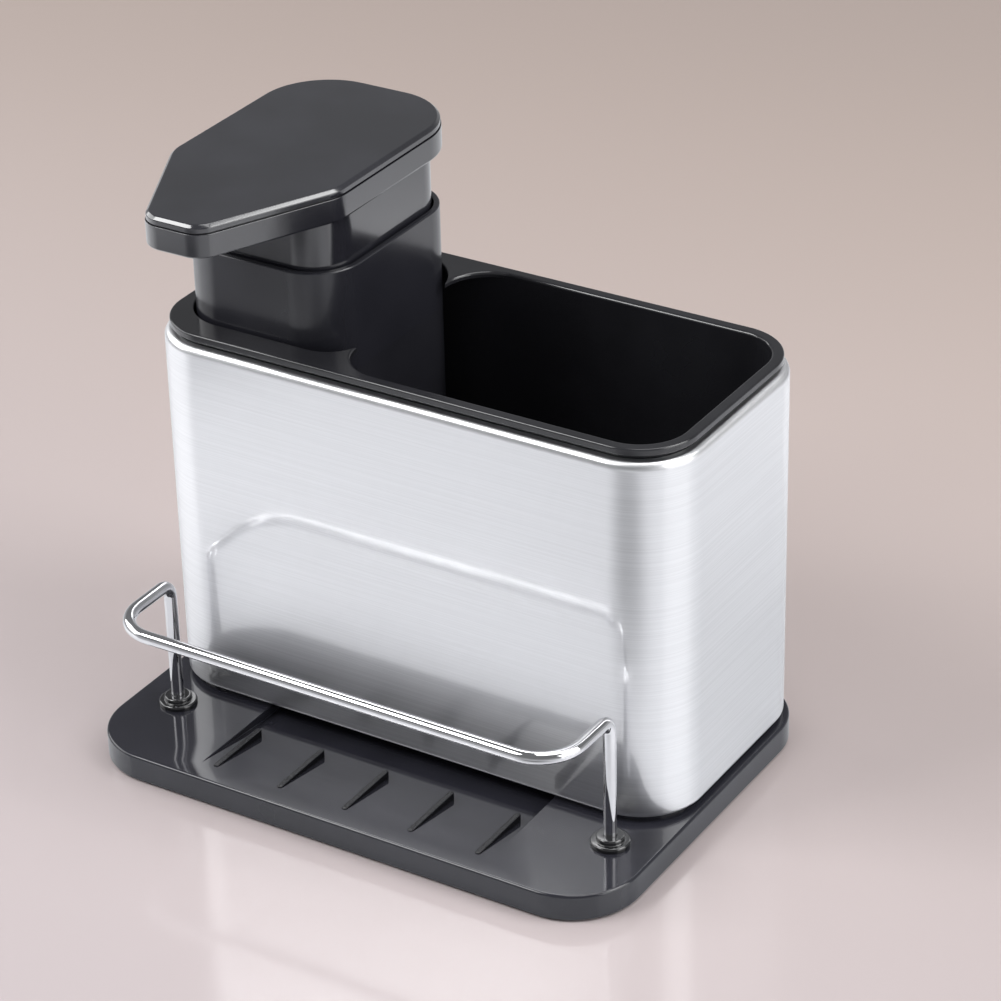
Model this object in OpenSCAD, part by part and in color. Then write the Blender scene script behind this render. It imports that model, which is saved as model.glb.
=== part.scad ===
// Kitchen and vanity caddy: a drip tray with a wire rail, a steel sleeve with a lift-out tub,
// and a soap bottle whose whole top is the press head of its pump.

/* [Tray] */
// Length of the tray from side to side
tray_w = 210; // [200:1:240]
// Depth of the tray in front of the sleeve
porch_d = 48; // [44:0.5:64]
// Height of the tray's side wall
tray_h = 9.4; // [9:0.1:14]
// Corner radius of the tray seen from above
tray_r = 25; // [18:0.5:32]
// Rounding of the tray's top edge
tray_edge_r = 1; // [0.4:0.1:2]
// Wall of the tray's side
tray_wall = 2.4; // [1.8:0.1:4]
// Thickness of the tray's top plate
plate_t = 6; // [5.6:0.1:7]
// Width of the sunk ramp
ramp_w = 116; // [100:1:124]
// Depth of the ramp where it runs under the sleeve
ramp_depth = 3.5; // [2:0.1:3.8]
// Distance from the tray's front edge to the top of the ramp
ramp_front = 8.6; // [6:0.1:14]
// Number of ribs on the ramp
rib_count = 5; // [3:1:6]
// Distance from rib to rib
rib_pitch = 26.4; // [18:0.1:27]
// Width of a rib
rib_w = 2.2; // [1.6:0.1:3]
// Length of a rib
rib_l = 27.2; // [18:0.1:28]
// Height of a rib above the tray's top
rib_rise = 0.3; // [0.1:0.1:0.8]
// Height that the feet hold the tray above what it stands on
foot_rise = 0.8; // [0.6:0.1:2]
// Diameter of a foot
foot_dia = 14; // [10:0.5:18]
// Distance of a foot's centre from the tray's sides and back
foot_inset = 20; // [16:0.5:26]

/* [Sleeve] */
// Depth of the strip inside the tub in front of the bottle
front_strip = 7; // [5:0.5:14]
// Height of the sleeve
sleeve_h = 134.6; // [125:0.1:145]
// Corner radius of the sleeve seen from above
sleeve_r = 23; // [20:0.5:28]
// Distance from the sleeve to the tray's sides and back
sleeve_margin = 2; // [1:0.1:5]
// Thickness of the steel sheet
sheet_t = 0.8; // [0.6:0.05:1]
// Outer radius of the rolled top edge
roll_r = 3; // [2:0.1:3.2]
// How far the top lip reaches in from the sleeve's face
lip_reach = 4.2; // [4.1:0.1:5]
// How far the bottom flange reaches in from the sleeve's face
flange_reach = 10; // [9.5:0.1:12]
// Gap between the tray's top and the sleeve's foot
sleeve_gap = 1.6; // [1:0.1:3]

/* [Tub] */
// Height of the tub's rim
rim_h = 3.2; // [2.6:0.1:5]
// Distance from the sleeve's face to the rim's face
rim_inset = 2; // [1:0.1:2.6]
// Shadow gap between the sleeve and the rim
rim_gap = 1.1; // [0.8:0.1:2]
// Wall of the tub
tub_wall = 1.6; // [1.2:0.1:2]
// Thickness of the deck beside the bottle
deck_t = 2; // [1.5:0.1:2.6]
// Thickness of the tub's floor
tub_floor_t = 2; // [1.5:0.1:3]
// Height of the tub's underside above the sleeve's foot
tub_lift_z = 5.2; // [5:0.1:9]
// Rounding of the rim's edges
rim_edge_r = 0.7; // [0.3:0.1:1.2]
// Diameter of a drain hole in the tub's floor
drain_dia = 5; // [3:0.5:7]
// Number of drain holes round the middle one
drain_count = 6; // [4:1:8]

/* [Bottle] */
// Width of the bottle from side to side
bottle_w = 65; // [60:0.5:80]
// Depth of the bottle from front to back
bottle_d = 80; // [72:0.5:96]
// Corner radius of the bottle seen from above
bottle_r = 18; // [17.5:0.5:22]
// Height of the collar above the rim
collar_rise = 26.3; // [24:0.1:32]
// Wall of the collar
collar_wall = 2.2; // [1.8:0.1:2.6]
// Wall of the tank
tank_wall = 2; // [1.6:0.1:2.4]
// Width of the shelf inside the collar
shelf_w = 5; // [4:0.1:7]
// Thickness of the shelf
shelf_t = 3; // [2:0.1:4]
// Depth of the shelf's top below the collar's top
shelf_depth = 35; // [34:0.1:38]

/* [Pump] */
// Bore of the pump cylinder
pump_bore = 20; // [18:0.5:22]
// Wall of the pump cylinder
pump_wall = 1.2; // [1:0.1:1.6]
// Depth of the pump cylinder below the neck
pump_l = 49.5; // [46:0.5:56]
// Travel of the press head
travel = 14; // [10:0.5:14]
// Diameter of the stem
stem_dia = 8; // [6:0.5:9]
// Bore of the stem
stem_bore = 4; // [3:0.5:5]
// Height of the piston
piston_h = 9; // [7:0.5:10]
// Wire of the return spring
spring_wire = 1.1; // [0.8:0.1:1.3]
// Mean diameter of the return spring
spring_dia = 14; // [13:0.5:15]
// Number of turns of the return spring
spring_turns = 7; // [5:1:8]
// Diameter of the inlet ball
ball_dia = 6; // [5:0.5:7]
// Outside diameter of the dip tube
dip_dia = 6; // [5:0.5:7]

/* [Press head] */
// How far the head stands out past the bottle's sides
head_over = 1.5; // [0.5:0.1:2.5]
// How far the nose reaches past the bottle's front
nose_reach = 41.7; // [34:0.1:48]
// Distance from the bottle's back to the head's back
head_back = 5.3; // [2:0.1:7]
// Height of the press head
head_h = 11.7; // [11.2:0.1:16]
// Corner radius at the back of the head
head_back_r = 25; // [18:0.5:30]
// Distance from the bottle's front back to where the head's sides turn in
shoulder_back = 5.8; // [0:0.1:12]
// Radius where the head's sides turn in
head_side_r = 16; // [10:0.5:24]
// Width of the nose between its two front corners
nose_w = 22; // [20:0.5:30]
// Corner radius of the nose
nose_r = 9; // [6:0.5:10]
// Thickness of the top panel
panel_t = 3.2; // [2.6:0.1:4]
// Wall of the head
head_wall = 2.2; // [1.8:0.1:2.6]
// Height of the skirt that shows between the collar and the head
skirt_show = 20; // [18:0.5:24]
// Wall of the skirt
skirt_wall = 1.8; // [1.4:0.1:2.2]
// Gap between the skirt and the collar
skirt_gap = 0.6; // [0.4:0.05:0.9]

/* [Rail] */
// Diameter of the rail's wire
wire_dia = 4.5; // [3.5:0.1:5]
// Height of the rail above the tray
rail_h = 48.8; // [40:0.1:60]
// Distance from a leg to the tray's side
leg_inset = 17; // [16:0.1:24]
// Distance from a leg to the sleeve's face
leg_gap = 12; // [9:0.1:16]
// Distance from the rail's front run to the tray's front edge
rail_inset = 2.8; // [2.6:0.1:6]
// Radius of the rail's front corners along the middle of the wire
rail_corner_r = 15; // [10:0.5:20]
// Radius of the bends at the top of the legs along the middle of the wire
leg_bend_r = 5; // [4:0.1:8]
// Diameter of a leg ring
ring_dia = 13.6; // [12:0.1:16]

/* [Hidden] */
$fn = 96;

// Gap between flat faces of pieces that rest on each other but come apart
seat_gap = 0.2;
// Radial gap of a sliding or running fit, and of pieces fitted into each other
run_gap = 0.05;
// Radial gap of a hole round a fixed pin or screw
hole_gap = 0.15;
// Overrun of a cutting shape past the face that it cuts
cut = 1;

// Colours
black_gloss = "#2c2d31";
black_matte = "#26272a";
steel = "#c9cacd";
white = "#e8e8e6";

// Heights of the main levels above what the caddy stands on
tray_top = foot_rise + tray_h;
plate_z = tray_top - plate_t;
sleeve_z = tray_top + sleeve_gap;
sleeve_top = sleeve_z + sleeve_h;
rim_z = sleeve_top + rim_gap;
rim_top = rim_z + rim_h;
tub_z = sleeve_z + tub_lift_z;
tub_floor = tub_z + tub_floor_t;
collar_top = rim_top + collar_rise;
shelf_top = collar_top - shelf_depth;
tank_top = shelf_top - shelf_t;
head_z = collar_top + skirt_show;
head_top = head_z + head_h;

// Plan places of the sleeve, the tub's cavity and the bottle
tub_clear = 0.5;
bottle_clear = 0.4;
tub_inset = lip_reach + tub_clear;
cavity_inset = tub_inset + tub_wall;
sleeve_d = 2 * cavity_inset + bottle_clear + bottle_d + front_strip;
sleeve_w = tray_w - 2 * sleeve_margin;
tray_d = sleeve_margin + sleeve_d + porch_d;
sleeve_back = tray_d / 2 - sleeve_margin;
sleeve_front = sleeve_back - sleeve_d;
sleeve_y = (sleeve_back + sleeve_front) / 2;
cavity_half = sleeve_w / 2 - cavity_inset;
cavity_back = sleeve_back - cavity_inset;
cavity_front = sleeve_front + cavity_inset;
cavity_r = sleeve_r - cavity_inset;
bottle_x = -cavity_half + bottle_clear + bottle_w / 2;
bottle_y = cavity_back - bottle_clear - bottle_d / 2;
bottle_right = bottle_x + bottle_w / 2;
bottle_front = bottle_y - bottle_d / 2;

// Outlines are lists of corners, anticlockwise, with a list of one radius for each corner
function box_points(w, d) = [[w / 2, -d / 2], [w / 2, d / 2], [-w / 2, d / 2], [-w / 2, -d / 2]];
function span_points(x0, x1, y0, y1) = [[x1, y0], [x1, y1], [x0, y1], [x0, y0]];
function four(r) = [r, r, r, r];
function prev(i, n) = (i + n - 1) % n;
function edge_dir(p, i) = let(v = p[(i + 1) % len(p)] - p[i]) v / norm(v);
function edge_normal(p, i) = let(d = edge_dir(p, i)) [d[1], -d[0]];
function corner_mid(p, r, i) =
    let(m = edge_normal(p, prev(i, len(p))) + edge_normal(p, i)) p[i] - m * r[i] * 2 / (m * m);
function heading(v) = atan2(v[1], v[0]);
function turn(p, i) =
    (heading(edge_normal(p, i)) - heading(edge_normal(p, prev(i, len(p)))) + 360) % 360;
function mirrored(x, y) = [[x, y], [-x, y]];
function corners(x, y, mid_x, mid_y) =
    [for (sx = [-1, 1], sy = [-1, 1]) [mid_x + sx * x, mid_y + sy * y]];

tray_box = box_points(tray_w, tray_d);
sleeve_box = box_points(sleeve_w, sleeve_d);
bottle_box = box_points(bottle_w, bottle_d);

module at(p, z = 0) {
    translate([p[0], p[1], z]) children();
}

// Flat outline with rounded corners, drawn inside the given one by an inset
module outline(p, r, inset = 0) {
    n = len(p);
    polygon([
        for (i = [0:n - 1], k = [0, 1])
            corner_mid(p, r, i) + (r[i] - inset) * edge_normal(p, k == 0 ? prev(i, n) : i)
    ]);
    for (i = [0:n - 1])
        translate(corner_mid(p, r, i)) circle(r[i] - inset);
}

// Upright solid on an outline
module block(p, r, h, inset = 0) {
    linear_extrude(h) outline(p, r, inset);
}

// Upright wall on an outline, between two insets
module wall(p, r, h, outer, inner) {
    difference() {
        block(p, r, h, outer);
        translate([0, 0, -cut]) block(p, r, h + 2 * cut, inner);
    }
}

// Sweeps a flat profile round an outline; its x is zero on the outline and negative inside
module swept(p, r) {
    n = len(p);
    for (i = [0:n - 1]) {
        c = corner_mid(p, r, i);
        translate([c[0], c[1], 0])
            rotate([0, 0, heading(edge_normal(p, prev(i, n)))])
                rotate_extrude(angle = turn(p, i)) translate([r[i], 0]) children();
        start = c + r[i] * edge_normal(p, i);
        stop = corner_mid(p, r, (i + 1) % n) + r[(i + 1) % n] * edge_normal(p, i);
        translate([stop[0], stop[1], 0])
            rotate([90, 0, heading(edge_normal(p, i))])
                linear_extrude(norm(stop - start)) children();
    }
}

// Rectangle of a profile, from one corner to the opposite one
module panel2d(x0, x1, y0, y1) {
    translate([x0, y0]) square([x1 - x0, y1 - y0]);
}

// The same rectangle with its top corners rounded at the chosen sides
module capped2d(x0, x1, y0, y1, e, left = true, right = true) {
    panel2d(x0, x1, y0, y1 - e);
    panel2d(left ? x0 + e : x0, right ? x1 - e : x1, y0, y1);
    if (left) translate([x0 + e, y1 - e]) circle(e);
    if (right) translate([x1 - e, y1 - e]) circle(e);
}

module tube(r_out, r_in, h) {
    difference() {
        cylinder(h = h, r = r_out);
        translate([0, 0, -cut]) cylinder(h = h + 2 * cut, r = r_in);
    }
}

module hex_nut(flats, h, bore_r) {
    sides = 6;
    difference() {
        cylinder(h = h, r = flats / 2 / cos(180 / sides), $fn = sides);
        translate([0, 0, -cut]) cylinder(h = h + 2 * cut, r = bore_r);
    }
}

// Pan-head screw that points up from the plane at zero
module pan_screw(shank_r, shank_l, head_r, head_h) {
    edge = head_h / 3;
    rotate_extrude()
        polygon([
            [0, -head_h], [head_r - edge, -head_h], [head_r, edge - head_h], [head_r, 0],
            [shank_r, 0], [shank_r, shank_l], [0, shank_l]
        ]);
}

// Tray details
ramp_y = -tray_d / 2 + ramp_front;
rib_round_share = 0.49;
sump_margin = 2;
sump_back = sleeve_back - flange_reach - sump_margin;
foot_socket = 1.2;
foot_boss_wall = 2;
foot_edge = 0.4;

// Sleeve screws and nuts, and the ledge that the sleeve's flange rests on
ledge_inset = 2.4;
screw_r = 1.5;
screw_head_r = 2.9;
screw_head_h = 1.7;
screw_inset = 6;
screw_nut_flats = 5.5;
screw_nut_h = 2.4;
screw_tip = 0.8;
screw_spread = sleeve_d / 2 - sleeve_r - screw_inset;
screw_places = corners(sleeve_w / 2 - screw_inset, screw_spread, 0, sleeve_y);

// Rail, leg rings and the nuts under the tray
leg_x = tray_w / 2 - leg_inset;
leg_y = sleeve_front - leg_gap;
rail_z = tray_top + rail_h;
rail_y = -tray_d / 2 + rail_inset;
wire_r = wire_dia / 2;
ring_neck_wall = 1.3;
ring_neck_r = wire_r + ring_neck_wall;
ring_step_h = 1.8;
ring_top_h = 3.5;
ring_top_wall = 2.6;
ring_edge = 0.8;
pocket_margin = 0.2;
pocket_r = ring_dia / 2 + pocket_margin;
pocket_roof = 4;
pocket_z = tray_top - pocket_roof;
washer_t = 0.8;
washer_gap = 1;
washer_r = pocket_r - washer_gap;
nut_share = 1.5;
nut_flats = washer_r * nut_share;
nut_h = 3;
wire_tip = 0.7;
leg_places = mirrored(leg_x, leg_y);

// Feet: the front pair stands close in front of the nut pockets
foot_x = tray_w / 2 - foot_inset;
foot_front_y = leg_y - pocket_r - foot_boss_wall - foot_dia / 2;
foot_back_y = tray_d / 2 - foot_inset;
foot_places = concat(mirrored(foot_x, foot_front_y), mirrored(foot_x, foot_back_y));

module base_tray() {
    color(black_gloss) {
        difference() {
            union() {
                difference() {
                    tray_slab();
                    translate([0, 0, foot_rise - cut])
                        block(tray_box, four(tray_r), plate_z - foot_rise + cut, tray_wall);
                }
                translate([0, sleeve_y, tray_top - cut])
                    wall(sleeve_box, four(sleeve_r), sleeve_gap + cut, ledge_inset, flange_reach);
                for (p = foot_places)
                    at(p, foot_rise)
                        cylinder(h = plate_z - foot_rise + cut, r = foot_dia / 2 + foot_boss_wall);
            }
            ramp_cut();
            for (p = foot_places)
                at(p, foot_rise - cut) cylinder(h = foot_socket + cut, r = foot_dia / 2 + run_gap);
            for (p = leg_places) {
                at(p, foot_rise) cylinder(h = tray_h + cut, r = ring_neck_r + run_gap);
                at(p, foot_rise - cut) cylinder(h = pocket_z - foot_rise + cut, r = pocket_r);
            }
            for (p = screw_places)
                at(p, foot_rise) cylinder(h = sleeve_z, r = screw_r + hole_gap);
        }
        for (i = [0:rib_count - 1])
            translate([(i - (rib_count - 1) / 2) * rib_pitch, ramp_y + rib_l / 2, plate_z + cut])
                block(
                    box_points(rib_w, rib_l), four(rib_w * rib_round_share),
                    plate_t - cut + rib_rise
                );
    }
}

module tray_slab() {
    translate([0, 0, foot_rise]) block(tray_box, four(tray_r), tray_h - tray_edge_r);
    translate([0, 0, foot_rise]) block(tray_box, four(tray_r), tray_h, tray_edge_r);
    swept(tray_box, four(tray_r))
        translate([-tray_edge_r, tray_top - tray_edge_r])
            intersection() {
                circle(tray_edge_r);
                square(tray_edge_r);
            }
}

// Ramp that slopes down towards the sleeve and runs on under it as a shallow sump
module ramp_cut() {
    floor_z = tray_top - ramp_depth;
    slot_back = sleeve_front + flange_reach + cut;
    translate([-ramp_w / 2, 0, 0])
        rotate([90, 0, 90])
            linear_extrude(ramp_w)
                polygon([
                    [ramp_y, tray_top], [sleeve_front, floor_z], [sump_back, floor_z],
                    [sump_back, tray_top], [slot_back, tray_top], [slot_back, sleeve_z + cut],
                    [sleeve_front, sleeve_z + cut], [sleeve_front, tray_top + cut],
                    [ramp_y, tray_top + cut]
                ]);
}

module tray_feet() {
    color("#1b1b1c")
        for (p = foot_places) {
            at(p) cylinder(h = foot_edge, r1 = foot_dia / 2 - foot_edge, r2 = foot_dia / 2);
            at(p, foot_edge) cylinder(h = foot_rise + foot_socket - foot_edge, r = foot_dia / 2);
        }
}

module steel_sleeve() {
    bend_r = 2 * sheet_t;
    color(steel)
        translate([0, sleeve_y, 0])
            difference() {
                swept(sleeve_box, four(sleeve_r)) {
                    union() {
                        panel2d(-sheet_t, 0, sleeve_z + bend_r, sleeve_top - roll_r);
                        translate([-roll_r, sleeve_top - roll_r]) quarter_ring(roll_r, roll_r - sheet_t, 0);
                        panel2d(-lip_reach, -roll_r, sleeve_top - sheet_t, sleeve_top);
                        translate([-bend_r, sleeve_z + bend_r]) quarter_ring(bend_r, bend_r - sheet_t, -90);
                        panel2d(-flange_reach, -bend_r, sleeve_z, sleeve_z + sheet_t);
                    }
                }
                for (p = screw_places)
                    translate([p[0], p[1] - sleeve_y, sleeve_z - cut])
                        cylinder(h = sheet_t + 2 * cut, r = screw_r + hole_gap);
            }
}

module quarter_ring(r_out, r_in, a) {
    rotate(a)
        intersection() {
            difference() {
                circle(r_out);
                circle(r_in);
            }
            square(r_out);
        }
}

module sleeve_screws() {
    shank_l = sleeve_z + sheet_t + screw_nut_h + screw_tip - plate_z;
    color(steel)
        for (p = screw_places)
            at(p, plate_z) pan_screw(screw_r, shank_l, screw_head_r, screw_head_h);
}

module sleeve_nuts() {
    color(steel)
        for (p = screw_places)
            at(p, sleeve_z + sheet_t) hex_nut(screw_nut_flats, screw_nut_h, screw_r + run_gap);
}

module wire_rail() {
    foot_z = pocket_z - washer_t - nut_h - wire_tip;
    color(steel) {
        for (s = [0, 1])
            mirror([s, 0, 0]) {
                translate([leg_x, leg_y, foot_z]) cylinder(h = rail_z - leg_bend_r - foot_z, r = wire_r);
                translate([leg_x, leg_y - leg_bend_r, rail_z - leg_bend_r])
                    rotate([90, 0, 90])
                        rotate_extrude(angle = 90) translate([leg_bend_r, 0]) circle(wire_r);
                translate([leg_x, leg_y - leg_bend_r, rail_z])
                    rotate([90, 0, 0])
                        cylinder(h = leg_y - leg_bend_r - rail_y - rail_corner_r, r = wire_r);
                translate([leg_x - rail_corner_r, rail_y + rail_corner_r, rail_z])
                    rotate([0, 0, -90])
                        rotate_extrude(angle = 90) translate([rail_corner_r, 0]) circle(wire_r);
            }
        translate([-leg_x + rail_corner_r, rail_y, rail_z])
            rotate([0, 90, 0]) cylinder(h = 2 * (leg_x - rail_corner_r), r = wire_r);
    }
}

module leg_rings() {
    bore_r = wire_r + run_gap;
    color(black_gloss)
        for (p = leg_places)
            at(p, tray_top)
                rotate_extrude()
                    difference() {
                        union() {
                            panel2d(0, ring_neck_r, -pocket_roof, cut);
                            capped2d(0, ring_dia / 2, 0, ring_step_h, ring_edge, left = false);
                            capped2d(0, wire_r + ring_top_wall, 0, ring_top_h, ring_edge, left = false);
                        }
                        panel2d(0, bore_r, -pocket_roof - cut, ring_top_h + cut);
                    }
}

module rail_washers() {
    color(steel)
        for (p = leg_places)
            at(p, pocket_z - washer_t) tube(washer_r, wire_r + hole_gap, washer_t);
}

module rail_nuts() {
    color(steel)
        for (p = leg_places)
            at(p, pocket_z - washer_t - nut_h) hex_nut(nut_flats, nut_h, wire_r + run_gap);
}

// Cut-outs in the tub's deck: the bay round the bottle and the opening of the brush compartment
bay_gap = 1.2;
bay_reach = 4.2;
bay_back_ease = 4.8;
bay_front_ease = 4;
opening_reach = 3.4;
bay_right = bottle_right + bay_reach;
bay_front = bottle_front - bay_gap;
opening_left = bottle_right + opening_reach;
opening_points = span_points(opening_left, cavity_half, cavity_front, cavity_back);
bay_points = span_points(-cavity_half, bay_right, bay_front, cavity_back);
bay_side_r = bottle_r + bottle_clear;
bay_radii = [bottle_r - bay_front_ease, bottle_r + bay_back_ease, bay_side_r, bay_side_r];
tub_seat_reach = 0.9;
drain_pitch = 12;
drain_x = (opening_left + cavity_half) / 2;

module inner_tub() {
    color(black_gloss)
        difference() {
            union() {
                translate([0, sleeve_y, 0])
                    swept(sleeve_box, four(sleeve_r)) {
                        union() {
                            capped2d(-cavity_inset, -rim_inset, rim_z, rim_top, rim_edge_r);
                            panel2d(-cavity_inset, -tub_inset, tub_z, rim_z);
                            panel2d(
                                -tub_inset, -lip_reach + tub_seat_reach,
                                sleeve_top + seat_gap, rim_z
                            );
                        }
                    }
                translate([0, sleeve_y, tub_z])
                    block(sleeve_box, four(sleeve_r), tub_floor_t, tub_inset);
                tub_deck();
            }
            translate([drain_x, sleeve_y, tub_z - cut]) {
                cylinder(h = tub_floor_t + 2 * cut, r = drain_dia / 2);
                for (k = [0:drain_count - 1])
                    rotate(k * 360 / drain_count)
                        translate([drain_pitch, 0]) cylinder(h = tub_floor_t + 2 * cut, r = drain_dia / 2);
            }
        }
}

// Deck that fills the cavity's top round the bottle and ends in two pointed tongues
module tub_deck() {
    deck_right = opening_left + cavity_r;
    difference() {
        intersection() {
            translate([0, sleeve_y, rim_top - deck_t])
                block(sleeve_box, four(sleeve_r), deck_t, cavity_inset - rim_edge_r);
            union() {
                deck_zone(-sleeve_w / 2, deck_right, sleeve_front, bottle_front + bottle_r);
                deck_zone(bottle_right - bottle_r, deck_right, bottle_y, sleeve_back);
            }
        }
        translate([0, 0, rim_top - deck_t - cut]) {
            block(opening_points, four(cavity_r), deck_t + 2 * cut);
            block(bay_points, bay_radii, deck_t + 2 * cut);
        }
    }
}

module deck_zone(x0, x1, y0, y1) {
    translate([x0, y0, rim_top - deck_t - cut]) cube([x1 - x0, y1 - y0, deck_t + 2 * cut]);
}

// Collar and its plug into the tank
collar_edge_r = 0.6;
plug_h = 8;
plug_wall = 2.4;
seal_w = 1.2;
seal_h = 2;
seal_drop = 3;

module soap_tank() {
    base_z = tub_floor + seat_gap;
    color("#3a3b40")
        translate([bottle_x, bottle_y, 0])
            difference() {
                translate([0, 0, base_z]) block(bottle_box, four(bottle_r), tank_top - base_z);
                translate([0, 0, base_z + tank_wall])
                    block(bottle_box, four(bottle_r), tank_top - base_z, tank_wall);
            }
}

module bottle_collar() {
    plug_x = tank_wall + run_gap;
    color(black_gloss)
        translate([bottle_x, bottle_y, 0])
            swept(bottle_box, four(bottle_r))
                difference() {
                    union() {
                        capped2d(-collar_wall, 0, tank_top, collar_top, collar_edge_r);
                        panel2d(-collar_wall - shelf_w, 0, tank_top, shelf_top);
                        panel2d(-plug_x - plug_wall, -plug_x, tank_top - plug_h, tank_top);
                    }
                    panel2d(
                        -tank_wall - seal_w - run_gap, 0,
                        tank_top - seal_drop - seal_h - run_gap, tank_top - seal_drop + run_gap
                    );
                }
}

module tank_seal() {
    color("#8a8c90")
        translate([bottle_x, bottle_y, 0])
            swept(bottle_box, four(bottle_r))
                panel2d(
                    -tank_wall - seal_w, -tank_wall,
                    tank_top - seal_drop - seal_h, tank_top - seal_drop
                );
}

// Closure plate that carries the pump
lid_gap = 0.4;
gasket_t = 1;
lid_t = 2.5;
lid_plug_wall = 1.8;
lid_plug_h = 6;
neck_wall = 1.6;
neck_h = 8.5;
neck_gap = 0.3;
gasket_z = shelf_top + seat_gap;
lid_z = gasket_z + gasket_t;
neck_top = lid_z + lid_t + neck_h;
bore_r = pump_bore / 2;
neck_bore_r = bore_r + pump_wall + neck_gap;
neck_r = neck_bore_r + neck_wall;
lid_plug_inset = collar_wall + shelf_w + lid_gap;

module closure_plate() {
    color(black_matte)
        translate([bottle_x, bottle_y, 0])
            difference() {
                union() {
                    translate([0, 0, lid_z])
                        block(bottle_box, four(bottle_r), lid_t, collar_wall + lid_gap);
                    translate([0, 0, lid_z - lid_plug_h])
                        wall(
                            bottle_box, four(bottle_r), lid_plug_h + lid_t,
                            lid_plug_inset, lid_plug_inset + lid_plug_wall
                        );
                    translate([0, 0, lid_z]) cylinder(h = neck_top - lid_z, r = neck_r);
                }
                translate([0, 0, lid_z - cut]) cylinder(h = neck_top - lid_z + 2 * cut, r = neck_bore_r);
            }
}

module closure_gasket() {
    color("#8a8c90")
        translate([bottle_x, bottle_y, gasket_z])
            wall(
                bottle_box, four(bottle_r), gasket_t,
                collar_wall + lid_gap, lid_plug_inset - run_gap
            );
}

// Pump cylinder, from its flange on the neck down to the dip tube
flange_t = 1.6;
stop_t = 3;
guide_t = 1.4;
pump_floor = neck_top - pump_l;
valve_depth = 9;
valve_r = 6.2;
ball_clear = 0.4;
ball_r = ball_dia / 2;
seat_depth = 6.6;
throat_share = 0.65;
throat_r = ball_r * throat_share;
nipple_l = 10;
nipple_wall = 1.6;
dip_r = dip_dia / 2;
dip_wall = 0.9;
dip_bore_r = dip_r - dip_wall;
dip_clear = 3;
cage_t = 2.4;
cage_step = 1;
cage_bore_r = ball_r - cage_step;
stem_r = stem_dia / 2;

module pump_cylinder() {
    valve_z = pump_floor - valve_depth;
    outer_r = bore_r + pump_wall;
    color(white)
        translate([bottle_x, bottle_y, 0])
            rotate_extrude()
                polygon([
                    [bore_r, neck_top + flange_t], [neck_r, neck_top + flange_t], [neck_r, neck_top],
                    [outer_r, neck_top], [outer_r, pump_floor - pump_wall],
                    [valve_r, pump_floor - pump_wall], [valve_r, valve_z],
                    [dip_r + nipple_wall, valve_z], [dip_r + nipple_wall, valve_z - nipple_l],
                    [dip_r + run_gap, valve_z - nipple_l], [dip_r + run_gap, valve_z],
                    [throat_r, valve_z], [throat_r, pump_floor - seat_depth],
                    [ball_r + ball_clear, pump_floor - seat_depth],
                    [ball_r + ball_clear, pump_floor], [bore_r, pump_floor]
                ]);
}

module pump_ring() {
    ring_wall = 3;
    lip_in = 3;
    ring_drop = 6;
    top_z = neck_top + flange_t + guide_t;
    color(black_matte)
        translate([bottle_x, bottle_y, 0])
            rotate_extrude()
                polygon([
                    [neck_r - lip_in, top_z], [neck_r + run_gap, top_z],
                    [neck_r + run_gap, neck_top - ring_drop], [neck_r + ring_wall, neck_top - ring_drop],
                    [neck_r + ring_wall, top_z + flange_t], [neck_r - lip_in, top_z + flange_t]
                ]);
}

module stem_guide() {
    z = neck_top + flange_t;
    color(white)
        translate([bottle_x, bottle_y, 0])
            rotate_extrude()
                polygon([
                    [stem_r + run_gap, z - stop_t], [bore_r - run_gap, z - stop_t],
                    [bore_r - run_gap, z], [neck_r, z], [neck_r, z + guide_t],
                    [stem_r + run_gap, z + guide_t]
                ]);
}

module ball_cage() {
    color(white)
        translate([bottle_x, bottle_y, pump_floor]) tube(bore_r - run_gap, cage_bore_r, cage_t);
}

module inlet_ball() {
    drop = sqrt(ball_r * ball_r - throat_r * throat_r);
    color(steel)
        translate([bottle_x, bottle_y, pump_floor - seat_depth + drop + run_gap]) sphere(ball_r);
}

module dip_tube() {
    low_z = tub_floor + seat_gap + tank_wall + dip_clear;
    color(white)
        translate([bottle_x, bottle_y, low_z])
            tube(dip_r, dip_bore_r, pump_floor - valve_depth - low_z);
}

// Press head: heights at rest
piston_top = neck_top + flange_t - stop_t - seat_gap;
piston_z = piston_top - piston_h;
spring_z = pump_floor + cage_t;
stem_seat = 1.6;
groove_h = 4;
groove_depth = 2;
piston_clear = 0.5;

module return_spring() {
    sides = 6;
    steps = 16;
    wire = spring_wire / 2;
    lift = piston_z - spring_z - spring_wire;
    n = spring_turns * steps;
    function ring_point(i, k) =
        let(a = 360 * i / steps, b = 360 * k / sides, r = spring_dia / 2 + wire * cos(b))
        [r * cos(a), r * sin(a), wire + lift * i / n + wire * sin(b)];
    points = [for (i = [0:n], k = [0:sides - 1]) ring_point(i, k)];
    sheath = [
        for (i = [0:n - 1], k = [0:sides - 1])
            let(a = i * sides + k, b = i * sides + (k + 1) % sides)
            each [[a, b, b + sides], [a, b + sides, a + sides]]
    ];
    caps = [
        for (k = [1:sides - 2])
            each [[0, k + 1, k], [n * sides, n * sides + k, n * sides + k + 1]]
    ];
    color(steel)
        translate([bottle_x, bottle_y, spring_z]) polyhedron(points, concat(sheath, caps));
}

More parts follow.
